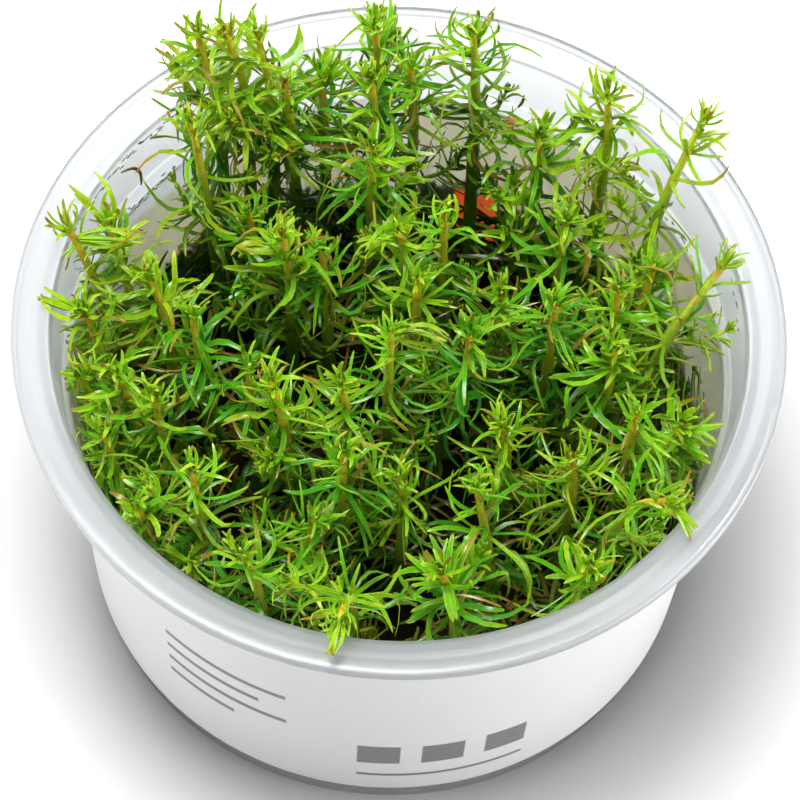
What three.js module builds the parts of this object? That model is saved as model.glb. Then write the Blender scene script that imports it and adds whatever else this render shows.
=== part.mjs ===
// A tuft of a whorled aquarium stem plant, growing in a clear plastic cup with a film band round its wall.
// Millimetres, +Z up. The origin is the centre of the cup's base.
import * as THREE from "three";
import { mergeVertices } from "three/addons/utils/BufferGeometryUtils.js";

// Cup: the wall tapers from the shoulder down to the base, and a short collar carries the flange.
const CUP_HEIGHT = 58;
const FLANGE_RADIUS = 50;
const FLANGE_THICKNESS = 0.9;
const FLANGE_STEP_RADIUS = 47.5;
const FLANGE_STEP = 0.5;
const LIP_WIDTH = 0.8;
const LIP_DEPTH = 1.8;
const WALL = 0.7;
const BASE_THICKNESS = 1.2;
const BASE_RADIUS = 40.2;
const BASE_BEVEL = 0.5;
const SHOULDER_RADIUS = 43.3;
const SHOULDER_HEIGHT = 46;
const COLLAR_BOTTOM_RADIUS = 44.4;
const COLLAR_TOP_RADIUS = 45.4;
const COLLAR_HEIGHT = 48;
const MOUTH_FILLET = 0.8;
const ROUND_SIDES = 40;

// What lies against the cup: each keeps a small gap to its neighbour.
const GAP = 0.3;
const LABEL_BOTTOM = 5;
const LABEL_TOP = 45;
const LABEL_THICKNESS = 0.3;
const GEL_TOP = 12;

// Shoots: a tapering stem, with whorls of pointed leaves that rise and shorten towards the tip.
const STEM_FOOT_RADIUS = 0.9;
const STEM_TIP_RADIUS = 0.5;
const STEM_STEPS = 6;
const LEAVES_PER_WHORL = 5;
const LEAF_LENGTH = 8.5;
const LEAF_LENGTH_SPREAD = 0.3;
const LEAF_BASE_RISE = 0.7;
const BUD_HEIGHT = 2.2;
const WHORL_SPACING = 4.6;
const WHORL_TURN = 18;
const SHOOT_TURN = 137.5;
// From the growing tip downwards: how steeply the leaves of a whorl rise, in degrees, and their share of length.
const WHORL_RISE = [68, 44, 22, 8, -4, -10];
const WHORL_REACH = [0.48, 0.78, 0.95, 1, 0.95, 0.9];

// Room that a leaf keeps, measured from its middle line.
const LEAF_ROOM = 0.4;
const STEM_ROOM = 0.95;
const AIR = 0.12;
const WALL_ROOM = 0.7;
const RIM_ROOM = 0.6;
const WIDEST_REACH = 49.4;
// Where a leaf has no room it is lifted, turned or grown shorter, in this order.
const SHORTER = [1, 0.85, 0.7, 0.55, 0.4];
const LIFTED = [0, 14, -14, 28];
const TURNED = [0, 14, -14];
const STUNTED = 0.14;

// Every shoot, by where it stands: its foot in the gel [x, y], its bend and tip [x, y, z], and its whorls.
const SHOOTS = {
  back_left: [
    { foot: [-24, 29], bend: [-26, 32, 56], tip: [-29, 33, 74], whorls: 5 },
    { foot: [-21, 31], bend: [-22.5, 34, 58], tip: [-25, 32, 75], whorls: 5 },
    { foot: [-18, 32], bend: [-19, 34, 57], tip: [-21, 33, 74], whorls: 5 },
    { foot: [-24, 24], bend: [-27, 23, 50], tip: [-29, 25, 65], whorls: 4 },
    { foot: [-14, 29], bend: [-16, 31, 52], tip: [-17, 30, 67], whorls: 4 },
    { foot: [-18, 18], bend: [-20, 19, 44], tip: [-21, 19, 53], whorls: 3 },
  ],
  back: [
    { foot: [-11, 34], bend: [-12, 36, 50], tip: [-13, 36, 63], whorls: 4 },
    { foot: [-4, 36], bend: [-5, 39, 56], tip: [-6, 39, 69], whorls: 5 },
    { foot: [-5, 31], bend: [-5, 33, 52], tip: [-6, 33, 66], whorls: 4 },
    { foot: [0, 34], bend: [0, 37, 52], tip: [-1, 36, 65], whorls: 4 },
    { foot: [9, 35], bend: [8, 38, 56], tip: [7, 38, 71], whorls: 5 },
    { foot: [17, 31], bend: [17, 33, 48], tip: [17, 32, 57], whorls: 3 },
  ],
  back_right: [
    { foot: [24, 28], bend: [26, 32, 54], tip: [25, 33, 67], whorls: 5 },
    { foot: [29, 22], bend: [34, 24, 56], tip: [38, 29, 68], whorls: 5 },
    { foot: [21, 20], bend: [21, 21, 44], tip: [21, 21, 54], whorls: 3 },
    { foot: [31, 14], bend: [32, 14, 44], tip: [33, 15, 53], whorls: 3 },
  ],
  left: [
    { foot: [-36, 9], bend: [-41, 8, 54], tip: [-44, 9, 63], whorls: 4 },
    { foot: [-33, 12], bend: [-37, 12, 47], tip: [-39, 13, 58], whorls: 3 },
    { foot: [-29, 6], bend: [-31, 5, 48], tip: [-33, 6, 57], whorls: 3 },
    { foot: [-36, 1], bend: [-39, 0, 46], tip: [-41, 0, 57], whorls: 3 },
    { foot: [-36, -4], bend: [-39, -7, 44], tip: [-41, -8, 54], whorls: 3 },
    { foot: [-32, -5], bend: [-34, -8, 46], tip: [-36, -9, 56], whorls: 3 },
    { foot: [-33, -12], bend: [-36, -15, 44], tip: [-37, -16, 54], whorls: 3 },
    { foot: [-27, -9], bend: [-30, -11, 45], tip: [-31, -11, 55], whorls: 3 },
    { foot: [-24, 2], bend: [-26, 0, 46], tip: [-27, 1, 56], whorls: 4 },
    { foot: [-28, -21], bend: [-31, -24, 44], tip: [-32, -26, 53], whorls: 3 },
  ],
  centre: [
    { foot: [-18, -1], bend: [-19, -4, 44], tip: [-19, -5, 54], whorls: 3 },
    { foot: [-14, 13], bend: [-15, 11, 50], tip: [-16, 11, 61], whorls: 4 },
    { foot: [-9, 13], bend: [-10, 12, 46], tip: [-11, 12, 56], whorls: 3 },
    { foot: [-4, 27], bend: [-5, 25, 52], tip: [-5, 24, 63], whorls: 4 },
    { foot: [1, 17], bend: [0, 15, 50], tip: [-1, 13, 60], whorls: 3 },
    { foot: [7, 18], bend: [5, 16, 50], tip: [5, 16, 60], whorls: 3 },
    { foot: [3, 11], bend: [2, 9, 46], tip: [2, 8, 57], whorls: 3 },
    { foot: [13, 12], bend: [13, 10, 44], tip: [13, 9, 53], whorls: 3 },
    { foot: [0, -2], bend: [-1, -4, 50], tip: [-1, -3, 62], whorls: 4 },
    { foot: [5, 2], bend: [9, 0, 48], tip: [9, -1, 59], whorls: 4 },
    { foot: [-6, -5], bend: [-6, -8, 47], tip: [-7, -9, 58], whorls: 3 },
    { foot: [-12, -9], bend: [-14, -11, 49], tip: [-16, -11, 61], whorls: 4 },
    { foot: [-5, -15], bend: [-6, -18, 47], tip: [-6, -19, 58], whorls: 4 },
    { foot: [2, -15], bend: [2, -17, 42], tip: [1, -18, 51], whorls: 3 },
    { foot: [16, -6], bend: [15, -9, 43], tip: [14, -10, 52], whorls: 3 },
  ],
  right: [
    { foot: [24, -2], bend: [36, 6, 52], tip: [42, 11, 62], whorls: 4 },
    { foot: [20, 8], bend: [20, 6, 48], tip: [20, 5, 58], whorls: 4 },
    { foot: [27, 10], bend: [28, 8, 48], tip: [28, 8, 58], whorls: 4 },
    { foot: [24, 4], bend: [28, 1, 44], tip: [28, 1, 54], whorls: 3 },
    { foot: [30, -6], bend: [31, -9, 47], tip: [31, -10, 57], whorls: 3 },
    { foot: [34, -6], bend: [36, -8, 46], tip: [37, -10, 55], whorls: 3 },
    { foot: [23, -11], bend: [24, -14, 44], tip: [23, -15, 54], whorls: 3 },
  ],
  front: [
    { foot: [16, -21], bend: [13, -23, 44], tip: [11, -22, 57], whorls: 4 },
    { foot: [11, -30], bend: [9, -34, 48], tip: [7, -36, 60], whorls: 4 },
    { foot: [-3, -27], bend: [-4, -39, 57], tip: [-5, -45, 62], whorls: 3 },
    { foot: [-22, -19], bend: [-24, -24, 48], tip: [-25, -24, 60], whorls: 4 },
    { foot: [-13, -30], bend: [-16, -34, 49], tip: [-18, -35, 60], whorls: 4 },
    { foot: [24, -26], bend: [25, -30, 46], tip: [26, -32, 56], whorls: 3 },
    { foot: [22, -18], bend: [32, -22, 55], tip: [36, -25, 61], whorls: 3 },
    { foot: [-11, -20], bend: [-10, -24, 42], tip: [-9, -25, 51], whorls: 3 },
  ],
};

const FINISHES = {
  cup: { color: 0xe6e9ec, roughness: 0.2, metalness: 0, transparent: true, opacity: 0.35 },
  label: { color: 0xdedcdc, roughness: 0.5, metalness: 0 },
  gel: { color: 0xb9b08c, roughness: 0.3, metalness: 0 },
  leaf: { color: 0x6d9e2b, roughness: 0.5, metalness: 0 },
};

const group = new THREE.Group();
addPiece("cup", cupGeometry(), FINISHES.cup);
addPiece("label", labelGeometry(), FINISHES.label);
addPiece("growing_gel", gelGeometry(), FINISHES.gel);
addShoots();

function addPiece(name, geometry, finish) {
  const mesh = new THREE.Mesh(geometry, new THREE.MeshStandardMaterial(finish));
  mesh.name = name;
  group.add(mesh);
}

// A solid of revolution about Z, from a profile of [radius, height] points.
function turned(profile) {
  const points = profile.map(([radius, height]) => new THREE.Vector2(radius, height));
  return new THREE.LatheGeometry(points, ROUND_SIDES).rotateX(Math.PI / 2);
}

// Radius of the wall's outer face at a height below the shoulder.
function wallRadius(height) {
  return THREE.MathUtils.mapLinear(height, BASE_BEVEL, SHOULDER_HEIGHT, BASE_RADIUS, SHOULDER_RADIUS);
}

// Radius of the open space inside the cup at a height.
function insideRadius(height) {
  if (height < COLLAR_HEIGHT + 1) {
    return wallRadius(Math.min(height, SHOULDER_HEIGHT)) - WALL;
  }
  return COLLAR_BOTTOM_RADIUS - WALL;
}

function cupGeometry() {
  const flangeTop = CUP_HEIGHT - FLANGE_STEP;
  return turned([
    [0, 0],
    [BASE_RADIUS - BASE_BEVEL, 0],
    [BASE_RADIUS, BASE_BEVEL],
    [SHOULDER_RADIUS, SHOULDER_HEIGHT],
    [COLLAR_BOTTOM_RADIUS, COLLAR_HEIGHT],
    [COLLAR_TOP_RADIUS, flangeTop - FLANGE_THICKNESS],
    [FLANGE_RADIUS - LIP_WIDTH, CUP_HEIGHT - FLANGE_THICKNESS],
    [FLANGE_RADIUS - LIP_WIDTH, CUP_HEIGHT - LIP_DEPTH],
    [FLANGE_RADIUS, CUP_HEIGHT - LIP_DEPTH],
    [FLANGE_RADIUS, CUP_HEIGHT],
    [FLANGE_STEP_RADIUS, CUP_HEIGHT],
    [FLANGE_STEP_RADIUS, flangeTop],
    [COLLAR_TOP_RADIUS - WALL + MOUTH_FILLET, flangeTop],
    [COLLAR_TOP_RADIUS - WALL, flangeTop - MOUTH_FILLET],
    [COLLAR_BOTTOM_RADIUS - WALL, COLLAR_HEIGHT],
    [SHOULDER_RADIUS - WALL, SHOULDER_HEIGHT],
    [wallRadius(BASE_THICKNESS) - WALL, BASE_THICKNESS],
    [0, BASE_THICKNESS],
  ]);
}

function labelGeometry() {
  const inner = (height) => wallRadius(height) + GAP;
  return turned([
    [inner(LABEL_BOTTOM), LABEL_BOTTOM],
    [inner(LABEL_BOTTOM) + LABEL_THICKNESS, LABEL_BOTTOM],
    [inner(LABEL_TOP) + LABEL_THICKNESS, LABEL_TOP],
    [inner(LABEL_TOP), LABEL_TOP],
    [inner(LABEL_BOTTOM), LABEL_BOTTOM],
  ]);
}

function gelGeometry() {
  const bottom = BASE_THICKNESS + GAP;
  return turned([
    [0, bottom],
    [insideRadius(bottom) - GAP, bottom],
    [insideRadius(GEL_TOP) - GAP, GEL_TOP],
    [0, GEL_TOP],
  ]);
}

function stemCurve({ foot, bend, tip }) {
  const root = new THREE.Vector3(foot[0], foot[1], GEL_TOP + GAP);
  return new THREE.CatmullRomCurve3([root, new THREE.Vector3(...bend), new THREE.Vector3(...tip)]);
}

// The stem's middle point at a share of its length, with directions along and around it.
function stemFrame(stem, share) {
  const along = stem.getTangentAt(share);
  const side = new THREE.Vector3(1, 0, 0).addScaledVector(along, -along.x).normalize();
  const front = new THREE.Vector3().crossVectors(side, along);
  const around = (angle) =>
    new THREE.Vector3().addScaledVector(side, Math.sin(angle)).addScaledVector(front, Math.cos(angle));
  const radius = THREE.MathUtils.lerp(STEM_FOOT_RADIUS, STEM_TIP_RADIUS, share);
  return { centre: stem.getPointAt(share), along, around, radius };
}

function stemLines(stem, owner) {
  const points = stem.getSpacedPoints(STEM_STEPS);
  const lines = points.slice(1).map((point, i) => new THREE.Line3(points[i], point));
  return lines.map((line) => ({ line, room: STEM_ROOM, owner }));
}

// True where a leaf's middle line stays inside the wall, or above the rim and over the flange.
function fitsCup(line) {
  const checks = 8;
  for (let i = 1; i <= checks; i++) {
    const point = line.at(i / checks, new THREE.Vector3());
    const belowRim = point.z < CUP_HEIGHT + RIM_ROOM;
    if (belowRim && Math.hypot(point.x, point.y) > insideRadius(point.z) - WALL_ROOM) {
      return false;
    }
    if (Math.max(Math.abs(point.x), Math.abs(point.y)) > WIDEST_REACH) {
      return false;
    }
  }
  return true;
}

function isClear(leaf, taken) {
  if (!fitsCup(leaf.line)) {
    return false;
  }
  return taken.every((other) => {
    const isStem = other.whorl === undefined;
    const grownTogether = other.owner === leaf.owner && (isStem || other.whorl === leaf.whorl);
    const room = leaf.room + other.room + AIR;
    return grownTogether || leaf.line.distanceSqToLine3(other.line) > room * room;
  });
}

// The longest leaf that has room, from the stem's surface at the given angle round it.
function growLeaf(frame, angle, turn, rise, length, owner, whorl, taken) {
  const start = frame.centre.clone().addScaledVector(frame.around(angle), frame.radius);
  const grown = (share, lift, twist) => {
    const slope = THREE.MathUtils.degToRad(rise + lift);
    const outwards = frame.around(angle + THREE.MathUtils.degToRad(turn + twist));
    const end = start.clone().addScaledVector(outwards, Math.cos(slope) * length * share);
    end.addScaledVector(frame.along, Math.sin(slope) * length * share);
    return { line: new THREE.Line3(start, end), room: LEAF_ROOM, owner, whorl };
  };
  for (const share of SHORTER) {
    for (const lift of LIFTED) {
      for (const twist of TURNED) {
        const leaf = grown(share, lift, twist);
        if (isClear(leaf, taken)) {
          return leaf;
        }
      }
    }
  }
  return grown(STUNTED, 0, 0);
}

// One ring of leaves, with the stem ring that closes it above and below. Whorl 0 is the growing tip.
function growWhorl(stem, owner, whorl, shootTurn, taken) {
  const stemLength = stem.getLength();
  const share = 1 - (BUD_HEIGHT + whorl * WHORL_SPACING) / stemLength;
  const step = LEAF_BASE_RISE / stemLength;
  const frame = stemFrame(stem, share);
  const leaves = [];
  for (let i = 0; i < LEAVES_PER_WHORL; i++) {
    const angle = shootTurn + (i * 2 * Math.PI) / LEAVES_PER_WHORL;
    const turn = whorl % 2 === 0 ? WHORL_TURN : -WHORL_TURN;
    const spread = 1 + LEAF_LENGTH_SPREAD * (THREE.MathUtils.seededRandom() - 0.5);
    const length = LEAF_LENGTH * WHORL_REACH[whorl] * spread;
    leaves.push(growLeaf(frame, angle, turn, WHORL_RISE[whorl], length, owner, whorl, taken));
  }
  taken.push(...leaves);
  const tips = leaves.map((leaf) => leaf.line.end);
  const rings = [{ share, tips }, { share: share - step, round: Math.ceil }];
  return whorl === 0 ? rings : [{ share: share + step, round: Math.floor }, ...rings];
}

// The closed surface of a shoot: a tube whose rings carry the leaves as drawn-out points.
function shootGeometry(stem, rings, shootTurn) {
  const columns = 2 * LEAVES_PER_WHORL;
  const tube = new THREE.CylinderGeometry(1, 1, 1, columns, rings.length - 1);
  const position = tube.getAttribute("position");
  const vertex = new THREE.Vector3();
  for (let i = 0; i < position.count; i++) {
    vertex.fromBufferAttribute(position, i);
    const ring = rings[Math.round((0.5 - vertex.y) * (rings.length - 1))];
    if (Math.hypot(vertex.x, vertex.z) < 0.5) {
      vertex.copy(stem.getPointAt(vertex.y > 0 ? 1 : 0));
    } else {
      const turns = Math.atan2(vertex.x, vertex.z) / (2 * Math.PI);
      const column = (Math.round(turns * columns) + columns) % columns;
      vertex.copy(ringPoint(stem, ring, column, shootTurn));
    }
    position.setXYZ(i, vertex.x, vertex.y, vertex.z);
  }
  return withoutSlivers(tube);
}

// Every second column of a whorl's ring is a leaf tip; on a plain ring the columns meet in pairs.
function ringPoint(stem, ring, column, shootTurn) {
  const isTip = ring.tips && column % 2 === 0;
  if (isTip) {
    return ring.tips[column / 2];
  }
  const place = ring.tips ? column / 2 : ring.round(column / 2);
  const { centre, around, radius } = stemFrame(stem, ring.share);
  return centre.addScaledVector(around(shootTurn + (place * 2 * Math.PI) / LEAVES_PER_WHORL), radius);
}

// Joins the vertices that meet and drops the triangles that this leaves without area.
function withoutSlivers(geometry) {
  geometry.deleteAttribute("normal");
  geometry.deleteAttribute("uv");
  const merged = mergeVertices(geometry, 1e-4);
  const corners = merged.index.array;
  const kept = [];
  for (let i = 0; i < corners.length; i += 3) {
    const [a, b, c] = corners.slice(i, i + 3);
    if (a !== b && b !== c && c !== a) {
      kept.push(a, b, c);
    }
  }
  merged.setIndex(kept);
  merged.computeVertexNormals();
  return merged;
}

function addShoots() {
  const shoots = Object.entries(SHOOTS).flatMap(([place, list]) =>
    list.map((shoot, i) => ({ ...shoot, name: `shoot_${place}_${i + 1}`, stem: stemCurve(shoot) })),
  );
  const taken = shoots.flatMap((shoot) => stemLines(shoot.stem, shoot.name));
  shoots.forEach((shoot, i) => {
    const shootTurn = THREE.MathUtils.degToRad(i * SHOOT_TURN);
    const rings = [];
    for (let whorl = 0; whorl < shoot.whorls; whorl++) {
      rings.push(...growWhorl(shoot.stem, shoot.name, whorl, shootTurn, taken));
    }
    rings.push({ share: 0, round: Math.floor });
    const geometry = shootGeometry(shoot.stem, rings, shootTurn);
    addPiece(shoot.name, geometry, FINISHES.leaf);
  });
}

export default group;
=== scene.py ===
"""A tuft of a whorled aquarium stem plant in a clear growing cup.

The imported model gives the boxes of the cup, label and gel and the course of every shoot. This script makes a
smooth cup, label and gel, leafy shoots, shed leaves and water drops, with their materials, and a plain studio
round them.
"""
import math

import bpy
import numpy as np
from mathutils import Matrix, Vector


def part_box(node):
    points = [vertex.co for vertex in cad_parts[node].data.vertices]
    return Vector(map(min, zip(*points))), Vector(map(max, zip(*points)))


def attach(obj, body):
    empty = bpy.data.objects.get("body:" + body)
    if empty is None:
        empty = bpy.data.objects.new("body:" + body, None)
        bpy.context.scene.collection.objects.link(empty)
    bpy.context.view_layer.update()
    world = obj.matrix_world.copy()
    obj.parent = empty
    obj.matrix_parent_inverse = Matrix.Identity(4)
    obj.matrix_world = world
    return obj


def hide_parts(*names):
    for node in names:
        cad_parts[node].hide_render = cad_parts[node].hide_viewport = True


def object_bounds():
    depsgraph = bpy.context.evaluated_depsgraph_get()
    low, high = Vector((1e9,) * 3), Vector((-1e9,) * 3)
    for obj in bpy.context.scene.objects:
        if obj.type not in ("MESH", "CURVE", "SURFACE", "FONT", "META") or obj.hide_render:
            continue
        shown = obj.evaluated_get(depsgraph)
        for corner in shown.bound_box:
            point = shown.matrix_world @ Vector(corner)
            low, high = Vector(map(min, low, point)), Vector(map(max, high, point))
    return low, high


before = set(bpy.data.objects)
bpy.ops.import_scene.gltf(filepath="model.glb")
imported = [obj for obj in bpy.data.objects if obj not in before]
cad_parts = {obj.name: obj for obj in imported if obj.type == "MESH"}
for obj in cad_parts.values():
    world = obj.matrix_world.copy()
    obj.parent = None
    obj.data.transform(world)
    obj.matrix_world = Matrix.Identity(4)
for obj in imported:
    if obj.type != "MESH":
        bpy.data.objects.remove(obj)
cad_low, cad_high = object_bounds()

bl_info = {
    "name": "Potted Whorled Aquarium Plant",
    "version": (1, 0, 0),
    "blender": (4, 5, 0),
    "location": "View3D > Sidebar > Growing Cup",
    "description": "Builds a whorled stem plant in a clear growing cup, on a plain studio floor",
    "category": "Add Mesh",
}

MM = 0.001
BODY = "root"
UP = np.array([0.0, 0.0, 1.0])
SHOOT_NODES = sorted(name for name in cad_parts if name.startswith("shoot_"))
_, CUP_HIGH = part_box("cup")
LABEL_LOW, LABEL_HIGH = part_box("label")
GEL_LOW, GEL_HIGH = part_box("growing_gel")


# Settings a user would change


class CupSettings(bpy.types.PropertyGroup):
    wall: bpy.props.FloatProperty(
        name="Wall", description="Thickness of the moulded wall", default=0.7 * MM, unit="LENGTH"
    )
    base_radius: bpy.props.FloatProperty(
        name="Base radius", description="Outer radius at the base", default=40.2 * MM, unit="LENGTH"
    )
    shoulder_radius: bpy.props.FloatProperty(
        name="Shoulder radius", description="Outer radius under the stacking shoulder",
        default=43.3 * MM, unit="LENGTH",
    )
    shoulder_height: bpy.props.FloatProperty(
        name="Shoulder height", description="Height of the stacking shoulder",
        default=46 * MM, unit="LENGTH",
    )
    collar_radius: bpy.props.FloatProperty(
        name="Collar radius", description="Outer radius just above the shoulder",
        default=44.4 * MM, unit="LENGTH",
    )
    tint: bpy.props.FloatVectorProperty(
        name="Plastic tint", description="Colour of the clear plastic",
        default=(0.785, 0.812, 0.832), subtype="COLOR",
    )
    label_colour: bpy.props.FloatVectorProperty(
        name="Label colour", description="Ground colour of the label",
        default=(0.69, 0.685, 0.69), subtype="COLOR",
    )
    steps: bpy.props.IntProperty(
        name="Steps round", description="Number of steps round the cup, label and gel", default=160, min=24
    )


class PlantSettings(bpy.types.PropertyGroup):
    leaf_width: bpy.props.FloatProperty(
        name="Leaf width", description="Width of a full leaf", default=0.58 * MM, unit="LENGTH"
    )
    leaf_length: bpy.props.FloatProperty(
        name="Leaf length", description="Length of a full leaf", default=8.0 * MM, unit="LENGTH"
    )
    leaf_thickness: bpy.props.FloatProperty(
        name="Leaf thickness", description="Thickness of the blade", default=0.2 * MM, unit="LENGTH"
    )
    stem_radius: bpy.props.FloatProperty(
        name="Stem radius", description="Radius of the stem near its foot", default=0.9 * MM, unit="LENGTH"
    )
    whorl_spacing: bpy.props.FloatProperty(
        name="Whorl spacing", description="Distance between the whorls that are added",
        default=2.6 * MM, unit="LENGTH",
    )
    young: bpy.props.FloatVectorProperty(
        name="Young leaf", description="Colour of the leaves near a tip",
        default=(0.36, 0.67, 0.008), subtype="COLOR",
    )
    grown: bpy.props.FloatVectorProperty(
        name="Grown leaf", description="Colour of the grown leaves",
        default=(0.11, 0.46, 0.005), subtype="COLOR",
    )
    # Near black: painted shade on the leaves low in the cup.
    old_in_shade: bpy.props.FloatVectorProperty(
        name="Old leaf", description="Colour of the leaves low in the cup",
        default=(0.004, 0.028, 0.002), subtype="COLOR",
    )
    seed: bpy.props.IntProperty(
        name="Seed", description="Seed of the leaves' irregularity", default=7
    )


class StageSettings(bpy.types.PropertyGroup):
    lens: bpy.props.FloatProperty(
        name="Lens", description="Focal length of the camera in millimetres", default=191.8
    )
    distance: bpy.props.FloatProperty(
        name="Distance", description="From the camera to the point it looks at",
        default=0.566, unit="LENGTH",
    )
    elevation: bpy.props.FloatProperty(
        name="Elevation", description="How steeply the camera looks down",
        default=math.radians(60.31), subtype="ANGLE",
    )
    roll: bpy.props.FloatProperty(
        name="Roll", description="How far the camera is turned about its view",
        default=math.radians(3.82), subtype="ANGLE",
    )
    target: bpy.props.FloatVectorProperty(
        name="Target", description="The point the camera looks at",
        default=(0.65 * MM, 0, 38.52 * MM), unit="LENGTH",
    )
    floor_colour: bpy.props.FloatVectorProperty(
        name="Floor colour", description="Colour of the floor", default=(0.54, 0.54, 0.54), subtype="COLOR"
    )
    world_strength: bpy.props.FloatProperty(
        name="World", description="Strength of the even light", default=1.0
    )


# Helpers for modelling

MERGE_DISTANCE = 0.002 * MM


def deselect_all():
    for piece in bpy.context.selected_objects:
        piece.select_set(False)


def select_only(piece):
    deselect_all()
    piece.select_set(True)
    bpy.context.view_layer.objects.active = piece


def edit_new(name):
    """Names the primitive just added and opens it in edit mode with everything selected."""
    piece = bpy.context.active_object
    piece.name = name
    piece.data.name = name
    bpy.ops.object.mode_set(mode="EDIT")
    bpy.ops.mesh.select_all(action="SELECT")
    return piece


def close_edit():
    bpy.ops.object.mode_set(mode="OBJECT")


def edit_points(piece, chosen):
    """Opens the piece in edit mode with only the chosen points selected."""
    bpy.ops.object.mode_set(mode="EDIT")
    bpy.ops.mesh.select_mode(type="VERT")
    bpy.ops.mesh.select_all(action="DESELECT")
    bpy.ops.object.mode_set(mode="OBJECT")
    for vertex in piece.data.vertices:
        vertex.select = chosen(vertex.co)
    bpy.ops.object.mode_set(mode="EDIT")


def place_in_mesh(piece):
    """Puts the object's place and size into its mesh, so that the object sits at the origin."""
    select_only(piece)
    bpy.ops.object.transform_apply(location=True, rotation=True, scale=True)


def smooth(piece, degrees):
    select_only(piece)
    bpy.ops.object.shade_smooth_by_angle(angle=math.radians(degrees))


def bevel(piece, width, segments, degrees):
    """Rounds the sharp edges of a turned piece."""
    rounding = piece.modifiers.new("rounding", "BEVEL")
    rounding.width = width
    rounding.segments = segments
    rounding.limit_method = "ANGLE"
    rounding.angle_limit = math.radians(degrees)
    rounding.use_clamp_overlap = True
    select_only(piece)
    bpy.ops.object.modifier_apply(modifier=rounding.name)


def turned(name, profile, steps):
    """A solid of revolution about Z: one vertex is drawn along the profile and the line is spun."""
    deselect_all()
    bpy.ops.mesh.primitive_plane_add(size=MM, location=(0, 0, 0))
    piece = edit_new(name)
    bpy.ops.mesh.merge(type="CENTER")
    bpy.ops.transform.translate(value=(profile[0][0], 0, profile[0][1]))
    for (radius, height), (next_radius, next_height) in zip(profile, profile[1:]):
        step = (next_radius - radius, 0, next_height - height)
        bpy.ops.mesh.extrude_vertices_move(TRANSFORM_OT_translate={"value": step})
    bpy.ops.mesh.select_all(action="SELECT")
    bpy.ops.mesh.spin(steps=steps, angle=2 * math.pi, center=(0, 0, 0), axis=(0, 0, 1))
    bpy.ops.mesh.select_all(action="SELECT")
    bpy.ops.mesh.remove_doubles(threshold=MERGE_DISTANCE)
    bpy.ops.mesh.normals_make_consistent(inside=False)
    close_edit()
    return piece


def mesh_piece(name, points, faces):
    mesh = bpy.data.meshes.new(name)
    mesh.from_pydata(points.tolist(), [], faces)
    mesh.update()
    piece = bpy.data.objects.new(name, mesh)
    bpy.context.scene.collection.objects.link(piece)
    return piece


def hand_over(piece, skins, degrees, slot, *nodes):
    """The piece gets its materials and smooth faces, rides on the cup's body and stands for its solids."""
    for skin in skins:
        piece.data.materials.append(skin)
    smooth(piece, degrees)
    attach(piece, BODY)
    if nodes:
        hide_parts(*nodes)


# Helpers for materials


RANGE_INPUTS = ("From Min", "From Max", "To Min", "To Max")


class Nodes:
    """The node tree of a material or a world, with short calls for the nodes used here."""

    def __init__(self, owner, shader="Principled BSDF"):
        owner.use_nodes = True
        self.owner = owner
        self.tree = owner.node_tree
        self.shader = self.tree.nodes[shader]

    def add(self, kind, **inputs):
        node = self.tree.nodes.new(kind)
        for key, value in inputs.items():
            self.put(node.inputs[key.replace("_", " ")], value)
        return node

    def put(self, socket, value):
        if isinstance(value, bpy.types.NodeSocket):
            self.tree.links.new(value, socket)
        else:
            socket.default_value = value

    def shade(self, **inputs):
        for key, value in inputs.items():
            self.put(self.shader.inputs[key.replace("_", " ")], value)

    def place(self):
        return self.add("ShaderNodeTexCoord").outputs["Object"]

    def coordinates(self, vector):
        """The X, Y and Z of a place or direction."""
        node = self.add("ShaderNodeSeparateXYZ")
        self.put(node.inputs[0], vector)
        return node.outputs["X"], node.outputs["Y"], node.outputs["Z"]

    def attribute(self, name):
        node = self.add("ShaderNodeAttribute")
        node.attribute_name = name
        return node.outputs["Fac"]

    def maths(self, operation, a, b, clamp=False):
        node = self.add("ShaderNodeMath")
        node.operation = operation
        node.use_clamp = clamp
        self.put(node.inputs[0], a)
        self.put(node.inputs[1], b)
        return node.outputs[0]

    def noise(self, scale, detail, rough, vector=None):
        node = self.add("ShaderNodeTexNoise", Scale=scale, Detail=detail, Roughness=rough)
        self.put(node.inputs["Vector"], self.place() if vector is None else vector)
        return node.outputs["Fac"]

    def stretch(self, factors):
        node = self.add("ShaderNodeVectorMath")
        node.operation = "MULTIPLY"
        self.put(node.inputs[0], self.place())
        node.inputs[1].default_value = factors
        return node.outputs[0]

    def from_axis(self, back=0.0):
        """Distance from the cup's axis, or from an upright line that far behind it."""
        node = self.add("ShaderNodeVectorMath")
        node.operation = "DISTANCE"
        self.put(node.inputs[0], self.stretch((1, 1, 0)))
        node.inputs[1].default_value = (0, back, 0)
        return node.outputs["Value"]

    def remap(self, value, low, high, to_low=0.0, to_high=1.0):
        node = self.add("ShaderNodeMapRange")
        self.put(node.inputs["Value"], value)
        for key, number in zip(RANGE_INPUTS, (low, high, to_low, to_high)):
            node.inputs[key].default_value = number
        return node.outputs["Result"]

    def blend(self, share, first, second):
        node = self.add("ShaderNodeMix")
        node.data_type = "RGBA"
        self.put(node.inputs["Factor"], share)
        self.put(node.inputs["A"], (*first, 1) if isinstance(first, tuple) else first)
        self.put(node.inputs["B"], (*second, 1) if isinstance(second, tuple) else second)
        return node.outputs["Result"]

    def ramp(self, value, stops):
        node = self.add("ShaderNodeValToRGB", Fac=value)
        points = node.color_ramp.elements
        while len(points) < len(stops):
            points.new(1.0)
        for point, (place, colour) in zip(points, stops):
            point.position = place
            point.color = (*colour, 1)
        return node.outputs["Color"]

    def bump(self, height, distance, strength):
        node = self.add("ShaderNodeBump", Height=height, Strength=strength, Distance=distance)
        self.put(self.shader.inputs["Normal"], node.outputs["Normal"])


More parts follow.
